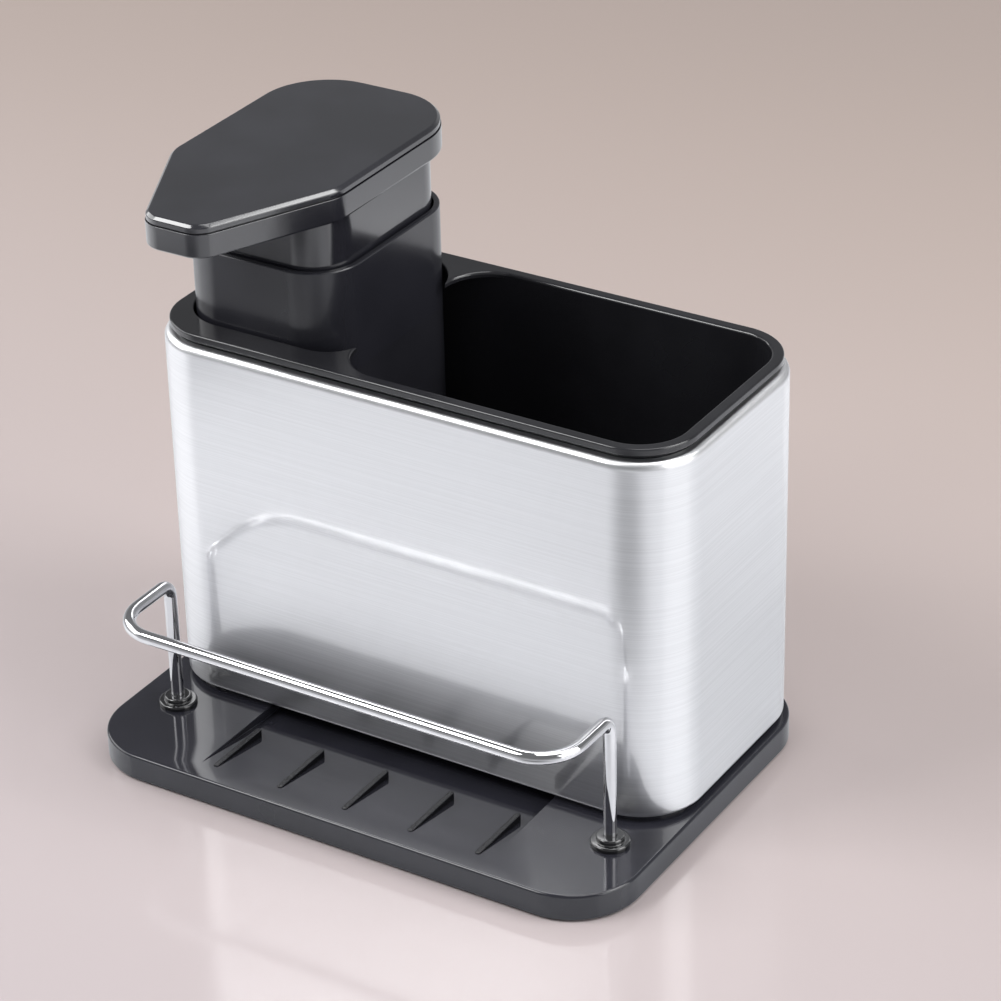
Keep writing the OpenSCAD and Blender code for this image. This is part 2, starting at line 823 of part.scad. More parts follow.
// Places in the press head
housing_plate_t = 2.2;
boss_h = 12;
boss_wall = 3.4;
panel_edge_r = 1.2;
panel_edge_steps = 3;
panel_inset = 0.3;
reveal_h = 0.4;
reveal_in = 0.8;
body_top = head_top - panel_t;
stem_top = head_z + housing_plate_t;
head_w = bottle_w + 2 * head_over;
head_y1 = bottle_d / 2 + head_back;
head_y0 = -bottle_d / 2 - nose_reach;
head_side_y = -bottle_d / 2 + shoulder_back;
head_points = [
    [nose_w / 2, head_y0], [head_w / 2, head_side_y], [head_w / 2, head_y1],
    [-head_w / 2, head_y1], [-head_w / 2, head_side_y], [-nose_w / 2, head_y0]
];
head_radii = [nose_r, head_side_r, head_back_r, head_back_r, head_side_r, nose_r];
head_corner_steps = 14;
skirt_inset = collar_wall + skirt_gap;
skirt_clear = 1;
skirt_z = lid_z + lid_t + travel + skirt_clear;
skirt_flange_w = 8;
skirt_flange_t = 2;
duct_h = 5.4;
duct_w = 7;
duct_bore_r = 1.6;
duct_end_r = 5.5;
nozzle_r = 3.2;
nozzle_bore_r = 1.4;
nozzle_drop = 4;
nozzle_inset = 11;
nozzle_y = head_y0 + nozzle_inset;
head_screw_r = 1.2;
head_screw_head_r = 2.3;
head_screw_head_h = 1.4;
head_screw_l = 6;
head_screw_boss = 1.8;
head_screw_inset = skirt_inset + skirt_wall + skirt_flange_w / 2;
head_screw_places =
    corners(bottle_w / 2 - head_screw_inset, bottle_d / 2 - head_screw_inset - bottle_r / 2, 0, 0);

// Solid of the press head's outline, drawn inside it by an inset
module head_block(h, inset = 0) {
    n = len(head_points);
    linear_extrude(h)
        polygon([
            for (i = [0:n - 1], k = [0:head_corner_steps])
                let(
                    a = heading(edge_normal(head_points, prev(i, n)))
                        + turn(head_points, i) * k / head_corner_steps
                )
                corner_mid(head_points, head_radii, i)
                    + (head_radii[i] - inset) * [cos(a), sin(a)]
        ]);
}

// Wall of the press head's outline, between two insets
module head_ring(h, outer, inner) {
    difference() {
        head_block(h, outer);
        translate([0, 0, -cut]) head_block(h + 2 * cut, inner);
    }
}

module press_stem() {
    low_z = piston_z + stem_seat;
    color(white)
        translate([bottle_x, bottle_y, low_z]) tube(stem_r, stem_bore / 2, stem_top - low_z);
}

module pump_piston() {
    r = bore_r - piston_clear;
    groove_z = (piston_h - groove_h) / 2;
    color(white)
        translate([bottle_x, bottle_y, piston_z])
            rotate_extrude()
                polygon([
                    [stem_bore / 2, 0], [r, 0], [r, groove_z], [r - groove_depth, groove_z],
                    [r - groove_depth, groove_z + groove_h], [r, groove_z + groove_h], [r, piston_h],
                    [stem_r + run_gap, piston_h], [stem_r + run_gap, stem_seat],
                    [stem_bore / 2, stem_seat]
                ]);
}

module piston_seal() {
    groove_z = (piston_h - groove_h) / 2;
    r = bore_r - piston_clear - groove_depth;
    color("#8a8c90")
        translate([bottle_x, bottle_y, piston_z + groove_z + run_gap])
            tube(bore_r - run_gap, r + run_gap, groove_h - 2 * run_gap);
}

module head_panel() {
    lip_wall = 1.4;
    lip_h = 1.6;
    lip_inset = head_wall + hole_gap;
    edge_z = body_top + reveal_h;
    bevel_z = head_top - panel_edge_r;
    color(black_gloss)
        translate([bottle_x, bottle_y, 0]) {
            translate([0, 0, edge_z])
                hull()
                    for (a = [0:90 / panel_edge_steps:90])
                        head_block(
                            bevel_z - edge_z + panel_edge_r * sin(a),
                            panel_inset + panel_edge_r * (1 - cos(a))
                        );
            translate([0, 0, body_top]) head_block(reveal_h, panel_inset + reveal_in);
            translate([0, 0, body_top - lip_h])
                head_ring(lip_h + reveal_h, lip_inset, lip_inset + lip_wall);
        }
}

module head_housing() {
    boss_r = stem_r + boss_wall;
    screw_boss_roof = 1;
    screw_hole_h = head_screw_l - skirt_flange_t;
    color(black_gloss)
        translate([bottle_x, bottle_y, 0])
            difference() {
                union() {
                    translate([0, 0, head_z]) head_block(housing_plate_t);
                    translate([0, 0, head_z]) head_ring(body_top - head_z, 0, head_wall);
                    translate([0, 0, head_z - boss_h]) cylinder(h = boss_h + housing_plate_t, r = boss_r);
                    for (p = head_screw_places)
                        at(p, head_z)
                            cylinder(
                                h = screw_hole_h + screw_boss_roof,
                                r = head_screw_r + head_screw_boss
                            );
                }
                translate([0, 0, head_z - boss_h - cut])
                    cylinder(h = boss_h + housing_plate_t + 2 * cut, r = stem_r + run_gap);
                translate([0, nozzle_y, head_z - cut])
                    cylinder(h = housing_plate_t + 2 * cut, r = nozzle_r + run_gap);
                for (p = head_screw_places)
                    at(p, head_z - cut)
                        cylinder(h = screw_hole_h + cut, r = head_screw_r + run_gap);
            }
}

module press_skirt() {
    flange_in = skirt_inset + skirt_wall + skirt_flange_w;
    color(black_gloss)
        translate([bottle_x, bottle_y, 0])
            difference() {
                union() {
                    translate([0, 0, skirt_z])
                        wall(
                            bottle_box, four(bottle_r), head_z - skirt_z,
                            skirt_inset, skirt_inset + skirt_wall
                        );
                    translate([0, 0, head_z - skirt_flange_t])
                        wall(bottle_box, four(bottle_r), skirt_flange_t, skirt_inset, flange_in);
                }
                for (p = head_screw_places)
                    at(p, head_z - skirt_flange_t - cut)
                        cylinder(h = skirt_flange_t + 2 * cut, r = head_screw_r + hole_gap);
            }
}

module head_screws() {
    color(steel)
        translate([bottle_x, bottle_y, 0])
            for (p = head_screw_places)
                at(p, head_z - skirt_flange_t)
                    pan_screw(head_screw_r, head_screw_l, head_screw_head_r, head_screw_head_h);
}

module outlet_duct() {
    z = head_z + housing_plate_t;
    mid_z = z + duct_h / 2;
    color(white)
        translate([bottle_x, bottle_y, 0])
            difference() {
                union() {
                    translate([0, 0, z]) cylinder(h = duct_h, r = stem_r + boss_wall);
                    translate([0, nozzle_y, z]) cylinder(h = duct_h, r = duct_end_r);
                    translate([-duct_w / 2, nozzle_y, z]) cube([duct_w, -nozzle_y, duct_h]);
                }
                translate([0, nozzle_y, mid_z])
                    rotate([-90, 0, 0]) cylinder(h = -nozzle_y, r = duct_bore_r);
                translate([0, 0, z - cut]) cylinder(h = mid_z - z + cut, r = stem_bore / 2);
                translate([0, nozzle_y, z - cut]) cylinder(h = mid_z - z + cut, r = nozzle_bore_r);
            }
}

module nozzle_tip() {
    color("#101012")
        translate([bottle_x, bottle_y + nozzle_y, head_z - nozzle_drop])
            tube(nozzle_r, nozzle_bore_r, nozzle_drop + housing_plate_t);
}

base_tray();
tray_feet();
steel_sleeve();
sleeve_screws();
sleeve_nuts();
wire_rail();
leg_rings();
rail_washers();
rail_nuts();
inner_tub();
soap_tank();
bottle_collar();
tank_seal();
closure_plate();
closure_gasket();
pump_cylinder();
pump_ring();
stem_guide();
ball_cage();
inlet_ball();
dip_tube();
return_spring();
press_stem();
pump_piston();
piston_seal();
head_panel();
head_housing();
press_skirt();
head_screws();
outlet_duct();
nozzle_tip();
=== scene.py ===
"""Soap pump caddy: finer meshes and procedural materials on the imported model.

The pieces' lengths are in millimetres, as in the model, and MM turns them into metres. The stage's are in
metres.
"""

import math

import bmesh
import bpy
from mathutils import Matrix, Vector


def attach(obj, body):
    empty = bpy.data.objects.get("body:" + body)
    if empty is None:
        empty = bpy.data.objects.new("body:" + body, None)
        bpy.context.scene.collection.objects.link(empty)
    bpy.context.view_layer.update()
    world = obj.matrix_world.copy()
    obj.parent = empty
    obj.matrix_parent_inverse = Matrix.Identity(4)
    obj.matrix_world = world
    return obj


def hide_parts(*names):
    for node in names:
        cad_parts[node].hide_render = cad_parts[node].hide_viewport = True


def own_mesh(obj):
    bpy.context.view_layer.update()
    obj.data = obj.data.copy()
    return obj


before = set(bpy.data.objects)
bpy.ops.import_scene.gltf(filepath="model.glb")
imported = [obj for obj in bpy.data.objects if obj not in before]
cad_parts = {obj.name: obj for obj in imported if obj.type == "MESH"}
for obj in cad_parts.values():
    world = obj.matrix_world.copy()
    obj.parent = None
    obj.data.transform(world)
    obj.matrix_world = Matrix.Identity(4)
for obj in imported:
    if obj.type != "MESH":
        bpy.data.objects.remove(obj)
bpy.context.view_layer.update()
MM = 0.001
X, Y, Z = 0, 1, 2


def span(node, axis):
    """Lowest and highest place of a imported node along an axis, in mm."""
    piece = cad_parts[node]
    places = [(piece.matrix_world @ v.co)[axis] / MM for v in piece.data.vertices]
    return round(min(places), 2), round(max(places), 2)


def corners(left, right, front, back):
    """Outline of a flat box, anticlockwise from its front right corner."""
    return [(right, front), (right, back), (left, back), (left, front)]


def corners_around(x, y, width, depth):
    """The same for a box whose middle is at x, y."""
    return corners(x - width / 2, x + width / 2, y - depth / 2, y + depth / 2)


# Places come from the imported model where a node's box gives them, and other sizes repeat the model's own.

# Tray
TRAY_Z = span("base_tray", Z)[0]
TRAY_TOP, TRAY_R, TRAY_WALL, PLATE_Z = 10.2, 25, 2.4, 4.2
TRAY_EDGE, TRAY_FOOT_EDGE, TRAY_BEVEL = 1, 0.4, 0.35
LEDGE_OUT, LEDGE_IN, LEDGE_CUT_Y = 2.4, 10, -16
RAMP_X, RAMP_Y, RAMP_END, RAMP_DEPTH = 58, -66.4, 61, 3.5
RIB_COUNT, RIB_PITCH, RIB_W, RIB_L, RIB_R = 5, 26.4, 2.2, 27.2, 1.08
RIB_FOOT, RIB_TOP, RIB_EDGE, RIB_MIDDLE = 6, 10.5, 0.35, 0.95

# Steel sleeve
SLEEVE_LEFT, SLEEVE_RIGHT = span("steel_sleeve", X)
SLEEVE_FRONT, SLEEVE_BACK = span("steel_sleeve", Y)
SLEEVE_Z, SLEEVE_TOP = span("steel_sleeve", Z)
SLEEVE_R, SHEET, ROLL_R, LIP, LIP_EDGE, FLANGE = 23, 0.8, 3, 4.2, 0.3, 10

# Wire rail and its rings
WIRE_R, RAIL_CORNER, LEG_BEND = 2.25, 15, 5
LEG_X = span("wire_rail", X)[1] - WIRE_R
LEG_Y = span("wire_rail", Y)[1] - WIRE_R
RAIL_Y = span("wire_rail", Y)[0] + WIRE_R
RAIL_Z = span("wire_rail", Z)[1] - WIRE_R
LEG_END = span("wire_rail", Z)[0]
RING_Z, RING_TOP = span("leg_rings", Z)
RING_FOOT_R, RING_R, RING_STEP_R, RING_STEP_H, RING_GAP = 3.55, 6.8, 4.85, 1.8, 0.05
RING_EDGE, RING_FOOT_EDGE, RING_BORE_EDGE, RING_FILLET = 0.8, 0.2, 0.25, 0.3

# Tub, whose side, joint and rim are set in from the sleeve's outline
TUB_Z, RIM_TOP = span("inner_tub", Z)
TUB_INSET, JOINT_INSET, RIM_INSET, CAVITY = 4.7, 3.9, 2, 6.3
TUB_EDGE, RIM_EDGE, RIM_FOOT_EDGE, JOINT_EDGE = 1.2, 0.7, 0.25, 0.2
JOINT_Z, JOINT_TOP, TUB_FLOOR, DECK = 146.6, 148.3, 19, 2
CAVITY_CLEARANCE = 0.02
CAVITY_RIGHT, CAVITY_LEFT = SLEEVE_RIGHT - CAVITY, SLEEVE_LEFT + CAVITY
CAVITY_FRONT, CAVITY_BACK = SLEEVE_FRONT + CAVITY, SLEEVE_BACK - CAVITY
OPENING_LEFT, OPENING_R, OPENING_EDGE = -27.9, SLEEVE_R - CAVITY, 1.1
BAY_RIGHT, BAY_FRONT, BAY_RADII, BAY_EDGE = -27.1, -14.9, [14, 22.8, 18.4, 18.4], 0.6
MOUTH_DEPTH, MOUTH_STEPS = 3, 8
DRAIN_X = (OPENING_LEFT + CAVITY_RIGHT) / 2
DRAIN_Y = (SLEEVE_FRONT + SLEEVE_BACK) / 2
DRAIN_R, DRAIN_PITCH, DRAINS_ROUND = 2.5, 12, 6

# Bottle and its collar
BOTTLE_LEFT, BOTTLE_RIGHT = span("bottle_collar", X)
BOTTLE_FRONT, BOTTLE_BACK = span("bottle_collar", Y)
BOTTLE_X = (BOTTLE_LEFT + BOTTLE_RIGHT) / 2
BOTTLE_Y = (BOTTLE_FRONT + BOTTLE_BACK) / 2
BOTTLE_R = 18
PLUG_Z, COLLAR_TOP = span("bottle_collar", Z)
TANK_TOP = span("soap_tank", Z)[1]
COLLAR_WALL, COLLAR_EDGE, COLLAR_FOOT_EDGE, COLLAR_FILLET = 2.2, 0.6, 0.15, 0.4
SHELF_TOP, SHELF_INSET, SHELF_EDGE, SHELF_FOOT_EDGE = 142, 7.2, 0.3, 0.2
PLUG_OUT, PLUG_IN, PLUG_EDGE = 2.05, 4.45, 0.4

# Press head
SKIRT_Z, HEAD_Z = span("press_skirt", Z)
BOSS_Z, BODY_TOP = span("head_housing", Z)
HEAD_TOP = span("head_panel", Z)[1]
HEAD_LEFT, HEAD_RIGHT = span("head_housing", X)
HEAD_FRONT, HEAD_BACK = span("head_housing", Y)
NOSE_HALF, SHOULDER, HEAD_RADII = 11, 34.2, [9, 16, 25, 25, 16, 9]
HEAD_WALL, HEAD_MOUTH = 2.2, 12
BAND_EDGE, BAND_TOP_EDGE, BAND_INNER_EDGE, BAND_FILLET = 0.9, 0.15, 0.1, 0.5
PANEL_INSET, PANEL_CHAMFER, PANEL_EDGE, PANEL_FOOT_EDGE = 0.3, 1.1, 0.7, 0.2
PANEL_JOINT, PANEL_JOINT_H, PANEL_FOOT_MIDDLE, PANEL_MIDDLE = 1.1, 0.4, 2.4, 3
BOSS_BORE, BOSS_R, BOSS_LAP, BOSS_EDGE, BOSS_BORE_EDGE = 4.05, 7.4, 0.5, 0.6, 0.3
SKIRT_OUT, SKIRT_IN, SKIRT_MOUTH, SKIRT_PLATE = 2.8, 4.6, 12.6, 2
SKIRT_EDGE, SKIRT_MOUTH_EDGE, SKIRT_FILLET = 0.5, 0.3, 0.8

# How far a cut or a hidden joint runs past a face
OVER = 1
# Inset at which the flat middle of a top or an underside begins
MIDDLE = 30
# Smallest corner radius that an inset outline keeps
SHARPEST = 0.05
# Distance in metres under which two points of a mesh become one
MERGE = 1e-7

TRAY = (corners(*span("base_tray", X), *span("base_tray", Y)), [TRAY_R] * 4)
SLEEVE = (corners(SLEEVE_LEFT, SLEEVE_RIGHT, SLEEVE_FRONT, SLEEVE_BACK), [SLEEVE_R] * 4)
BOTTLE = (corners(BOTTLE_LEFT, BOTTLE_RIGHT, BOTTLE_FRONT, BOTTLE_BACK), [BOTTLE_R] * 4)
HEAD_POINTS = [
    (BOTTLE_X + NOSE_HALF, HEAD_FRONT), (HEAD_RIGHT, BOTTLE_Y - SHOULDER), (HEAD_RIGHT, HEAD_BACK),
    (HEAD_LEFT, HEAD_BACK), (HEAD_LEFT, BOTTLE_Y - SHOULDER), (BOTTLE_X - NOSE_HALF, HEAD_FRONT),
]
HEAD = (HEAD_POINTS, HEAD_RADII)


# Mesh tools
def ring(outline, inset, z, seg=16):
    """One closed ring of a rounded outline, drawn inside it by an inset."""
    points, radii = outline
    out = []
    for i, radius in enumerate(radii):
        corner = Vector(points[i])
        before = (corner - Vector(points[i - 1])).normalized()
        after = (Vector(points[(i + 1) % len(points)]) - corner).normalized()
        outward_before = Vector((before.y, -before.x))
        outward_after = Vector((after.y, -after.x))
        both = outward_before + outward_after
        r = max(radius - inset, SHARPEST)
        middle = corner - both * ((inset + r) * 2 / both.dot(both))
        start = math.atan2(outward_before.y, outward_before.x)
        turn = (math.atan2(outward_after.y, outward_after.x) - start) % (2 * math.pi)
        for k in range(seg + 1):
            angle = start + turn * k / seg
            out.append((middle.x + r * math.cos(angle), middle.y + r * math.sin(angle), z))
    return out


def soften(points, seg=5, closed=True):
    """A flat profile of (a, b, rounding) turned into (a, b) points with its corners rounded."""
    out = []
    ends = (0, len(points) - 1)
    for i, (a, b, r) in enumerate(points):
        if r <= 0 or (not closed and i in ends):
            out.append((a, b))
            continue
        corner = Vector((a, b))
        before = (corner - Vector(points[i - 1][:2])).normalized()
        after = (Vector(points[(i + 1) % len(points)][:2]) - corner).normalized()
        bend = before.angle(after)
        reach = r * math.tan(bend / 2)
        middle = corner + (after - before).normalized() * (r / math.cos(bend / 2))
        start = corner - before * reach - middle
        end = corner + after * reach - middle
        for k in range(seg + 1):
            share = k / seg
            arm = start * math.sin((1 - share) * bend) + end * math.sin(share * bend)
            out.append(tuple(middle + arm / math.sin(bend)))
    return out


def mesh_object(name, verts, faces, material=None, smooth=30):
    """New object from points in mm, smooth up to an angle in degrees, or flat where that is 0."""
    mesh = bpy.data.meshes.new(name)
    mesh.from_pydata([Vector(v) * MM for v in verts], [], faces)
    bm = bmesh.new()
    bm.from_mesh(mesh)
    bmesh.ops.remove_doubles(bm, verts=bm.verts, dist=MERGE)
    bmesh.ops.recalc_face_normals(bm, faces=bm.faces)
    bm.to_mesh(mesh)
    bm.free()
    obj = bpy.data.objects.new(name, mesh)
    bpy.context.collection.objects.link(obj)
    if material:
        mesh.materials.append(material)
    if smooth:
        shade(obj, smooth)
    return obj


def shade(obj, angle=30):
    """Smooth shading with crisp edges, and flat faces kept flat."""
    obj.data.shade_smooth()
    obj.data.set_sharp_from_angle(angle=math.radians(angle))
    if not any(m.type == "WEIGHTED_NORMAL" for m in obj.modifiers):
        flat = obj.modifiers.new("flat", "WEIGHTED_NORMAL")
        flat.keep_sharp = True
        flat.weight = 90


def loft(name, rings, material=None, closed=False, caps=False, smooth=30):
    """Skin through rings of equally many points, with a lid at each end if caps is set."""
    n = len(rings[0])
    verts = [v for points in rings for v in points]
    pairs = [(i, i + 1) for i in range(len(rings) - 1)]
    if closed:
        pairs.append((len(rings) - 1, 0))
    faces = []
    for a, b in pairs:
        for k in range(n):
            after = (k + 1) % n
            faces.append((a * n + k, a * n + after, b * n + after, b * n + k))
    if caps:
        faces.append(tuple(range(n))[::-1])
        faces.append(tuple((len(rings) - 1) * n + k for k in range(n)))
    return mesh_object(name, verts, faces, material, smooth)


def sweep(name, outline, profile, material, seg=24, steps=5, smooth=30):
    """Closed profile of (inset, z, rounding) swept round an outline."""
    rings = [ring(outline, inset, z, seg) for inset, z in soften(profile, steps)]
    return loft(name, rings, material, closed=True, smooth=smooth)


def solid(name, outline, profile, material=None, seg=24, steps=5, smooth=30):
    """Open profile of (inset, z, rounding) swept round an outline and capped below and above."""
    rings = [ring(outline, inset, z, seg) for inset, z in soften(profile, steps, closed=False)]
    return loft(name, rings, material, caps=True, smooth=smooth)


def upright(low, high, inset=0):
    """Profile of a plain wall for a solid."""
    return [(inset, low, 0), (inset, high, 0)]


def prism(name, outline, left, right):
    """Cutter with a flat outline of (y, z), between two places along X."""
    n = len(outline)
    verts = [(x, y, z) for x in (left, right) for y, z in outline]
    faces = [tuple(range(n)), tuple(range(n, 2 * n))[::-1]]
    faces += [(k, (k + 1) % n, n + (k + 1) % n, n + k) for k in range(n)]
    return mesh_object(name, verts, faces, smooth=0)


def lathe(name, profile, x, y, material, seg=64, steps=4):
    """Closed profile of (radius, z, rounding) turned about the upright line at x, y."""
    angles = [2 * math.pi * k / seg for k in range(seg)]
    rings = [
        [(x + r * math.cos(a), y + r * math.sin(a), z) for a in angles]
        for r, z in soften(profile, steps)
    ]
    return loft(name, rings, material, closed=True)


def pipe(name, points, radius, material, seg=40, steps=14):
    """Round wire along a path of (x, y, z, bend radius) with rounded bends."""
    path = []
    for i, (x, y, z, r) in enumerate(points):
        corner = Vector((x, y, z))
        if r <= 0 or i in (0, len(points) - 1):
            path.append(corner)
            continue
        before = (corner - Vector(points[i - 1][:3])).normalized()
        after = (Vector(points[i + 1][:3]) - corner).normalized()
        bend = before.angle(after)
        middle = corner + (after - before).normalized() * (r / math.cos(bend / 2))
        start = corner - before * (r * math.tan(bend / 2)) - middle
        axis = before.cross(after)
        path += [middle + Matrix.Rotation(bend * k / steps, 3, axis) @ start for k in range(steps + 1)]
    angles = [2 * math.pi * k / seg for k in range(seg)]
    rings = []
    side = Vector((1, 0, 0))
    for i, place in enumerate(path):
        along = (path[min(i + 1, len(path) - 1)] - path[max(i - 1, 0)]).normalized()
        side = (side - along * side.dot(along)).normalized()
        over = along.cross(side)
        rings.append([tuple(place + (side * math.cos(a) + over * math.sin(a)) * radius) for a in angles])
    return loft(name, rings, material, caps=True, smooth=50)


def apply_modifiers(obj):
    """Makes what the modifiers show the object's own mesh."""
    shown = obj.evaluated_get(bpy.context.evaluated_depsgraph_get())
    mesh = bpy.data.meshes.new_from_object(shown)
    obj.modifiers.clear()
    obj.data = mesh


def carve(obj, *cutters):
    """Cuts the cutters' shapes out of an object and removes them."""
    for cutter in cutters:
        cut = obj.modifiers.new("cut", "BOOLEAN")
        cut.operation, cut.solver, cut.object = "DIFFERENCE", "EXACT", cutter
        apply_modifiers(obj)
        bpy.data.objects.remove(cutter)


def bevel(obj, width, segments=3, angle=40):
    """Rounds the edges that are sharper than an angle in degrees."""
    edge = obj.modifiers.new("edge", "BEVEL")
    edge.width, edge.segments = width * MM, segments
    edge.limit_method, edge.angle_limit = "ANGLE", math.radians(angle)
    edge.miter_outer = "MITER_ARC"
    apply_modifiers(obj)


def join(objects, name):
    """Several objects with one material made into the first one."""
    first = objects[0]
    bm = bmesh.new()
    for obj in objects:
        bm.from_mesh(obj.data)
    bm.to_mesh(first.data)
    bm.free()
    for obj in objects[1:]:
        bpy.data.objects.remove(obj)
    first.name = first.data.name = name
    return first


# Shader tools
# A Mix node's sockets for its two colours and its mixed colour
MIX_DARK, MIX_LIGHT, MIX_OUT = 6, 7, 2


def new_material(name):
    """New material, with its nodes, its links and its Principled node."""
    mat = bpy.data.materials.new(name)
    mat.use_nodes = True
    return mat, mat.node_tree.nodes, mat.node_tree.links, mat.node_tree.nodes["Principled BSDF"]


def coordinate(nodes, links, system, axis):
    """One axis of a coordinate system, such as the object's own."""
    split = nodes.new("ShaderNodeSeparateXYZ")
    links.new(nodes.new("ShaderNodeTexCoord").outputs[system], split.inputs[0])
    return split.outputs[axis]


def noise(nodes, links, scale, detail, stretch=(1, 1, 1)):
    """Noise in the object's own coordinates, in metres."""
    place = nodes.new("ShaderNodeTexCoord")
    spread = nodes.new("ShaderNodeMapping")
    spread.inputs["Scale"].default_value = stretch
    tex = nodes.new("ShaderNodeTexNoise")
    tex.inputs["Scale"].default_value = scale
    tex.inputs["Detail"].default_value = detail
    links.new(place.outputs["Object"], spread.inputs["Vector"])
    links.new(spread.outputs["Vector"], tex.inputs["Vector"])
    return tex.outputs["Fac"]


def between(nodes, links, source, low, high, start=0.3, end=0.7):
    """Smooth step from low to high while the source goes from start to end."""
    step = nodes.new("ShaderNodeMapRange")
    step.interpolation_type = "SMOOTHSTEP"
    step.inputs["From Min"].default_value = start
    step.inputs["From Max"].default_value = end
    step.inputs["To Min"].default_value = low
    step.inputs["To Max"].default_value = high
    links.new(source, step.inputs["Value"])
    return step.outputs["Result"]


def times(nodes, links, one, other):
    """Product of two values."""
    product = nodes.new("ShaderNodeMath")
    product.operation = "MULTIPLY"
    links.new(one, product.inputs[0])
    links.new(other, product.inputs[1])
    return product.outputs["Value"]


def shade_mix(nodes, links, source, dark, light):
    """Mix of two colours, each a plain tuple or another node's output."""
    mix = nodes.new("ShaderNodeMix")
    mix.data_type = "RGBA"
    for socket, colour in ((MIX_DARK, dark), (MIX_LIGHT, light)):
        if isinstance(colour, tuple):
            mix.inputs[socket].default_value = (*colour, 1)
        else:
            links.new(colour, mix.inputs[socket])
    links.new(source, mix.inputs[0])
    return mix.outputs[MIX_OUT]


def bump(nodes, links, source, distance, strength, base=None):
    """Relief of a depth in mm, on top of another relief if base is given."""
    relief = nodes.new("ShaderNodeBump")
    relief.inputs["Distance"].default_value = distance * MM
    relief.inputs["Strength"].default_value = strength
    links.new(source, relief.inputs["Height"])
    if base:
        links.new(base, relief.inputs["Normal"])
    return relief.outputs["Normal"]


# Materials
def plastic(name, dark, light, rough, grain=0.004, grain_scale=900, coat=0.0, coat_rough=0.06, ior=1.55):
    """Moulded plastic: a faint wave and grain in its gloss, and slightly uneven colour."""
    mat, nodes, links, skin = new_material(name)
    cloud = noise(nodes, links, scale=35, detail=3)
    fine = noise(nodes, links, grain_scale, detail=2)
    tone = shade_mix(nodes, links, between(nodes, links, cloud, 0, 1), dark, light)
    links.new(tone, skin.inputs["Base Color"])
    links.new(between(nodes, links, cloud, *rough), skin.inputs["Roughness"])
    wave = bump(nodes, links, noise(nodes, links, scale=28, detail=1), distance=0.04, strength=0.25)
    links.new(bump(nodes, links, fine, grain, strength=0.6, base=wave), skin.inputs["Normal"])
    skin.inputs["IOR"].default_value = ior
    skin.inputs["Coat Weight"].default_value = coat
    skin.inputs["Coat Roughness"].default_value = coat_rough
    return mat


def worn_tops_with_painted_light(name, dark, light, low, high):
    """Black plastic paler and duller above a height in mm: scuffs, and a painted highlight on the tops."""
    mat, nodes, links, skin = new_material(name)
    height = coordinate(nodes, links, "Object", "Z")
    painted_lit_top = between(nodes, links, height, 0, 1, start=low * MM, end=high * MM)
    scratches = noise(nodes, links, scale=2200, detail=2)
    wear_and_highlight = times(nodes, links, painted_lit_top, between(nodes, links, scratches, 0.1, 1, start=0.4, end=0.65))
    links.new(shade_mix(nodes, links, wear_and_highlight, dark, light), skin.inputs["Base Color"])
    links.new(between(nodes, links, wear_and_highlight, 0.12, 0.34, start=0, end=1), skin.inputs["Roughness"])
    grain = noise(nodes, links, scale=700, detail=2)
    links.new(bump(nodes, links, grain, distance=0.006, strength=0.5), skin.inputs["Normal"])
    skin.inputs["Specular IOR Level"].default_value = 0.25
    return mat


def metal(name, dark, light, rough, scale=60, depth=0.0):
    """Plated metal with cloudy gloss, and with a fine grain of a depth in mm if one is given."""
    mat, nodes, links, skin = new_material(name)
    cloud = noise(nodes, links, scale, detail=3)
    tone = shade_mix(nodes, links, between(nodes, links, cloud, 0, 1), dark, light)
    links.new(tone, skin.inputs["Base Color"])
    links.new(between(nodes, links, cloud, *rough), skin.inputs["Roughness"])
    skin.inputs["Metallic"].default_value = 1
    if depth:
        grain = noise(nodes, links, scale * 8, detail=2)
        links.new(bump(nodes, links, grain, depth, strength=0.5), skin.inputs["Normal"])
    return mat


def brushed(name, dark, light):
    """Steel sheet brushed round the sleeve: fine level lines in a soft sheen, under a sharper gloss."""
    mat, nodes, links, skin = new_material(name)
    streak = noise(nodes, links, scale=1, detail=3, stretch=(14, 14, 2600))
    tone = shade_mix(nodes, links, between(nodes, links, streak, 0, 1), dark, light)
    links.new(tone, skin.inputs["Base Color"])
    links.new(between(nodes, links, streak, 0.36, 0.44), skin.inputs["Roughness"])
    links.new(bump(nodes, links, streak, distance=0.0012, strength=0.5), skin.inputs["Normal"])
    skin.inputs["Coat Weight"].default_value = 1
    skin.inputs["Coat IOR"].default_value = 2.8
    skin.inputs["Coat Roughness"].default_value = 0.09
    skin.inputs["Metallic"].default_value = 1
    skin.inputs["Anisotropic"].default_value = 0.6
    level = nodes.new("ShaderNodeTangent")
    level.direction_type, level.axis = "RADIAL", "Z"
    links.new(level.outputs["Tangent"], skin.inputs["Tangent"])
    return mat


TRAY_BLACK = plastic("tray_gloss", (0.022, 0.022, 0.029), (0.028, 0.028, 0.037), (0.06, 0.1), coat=0.15)
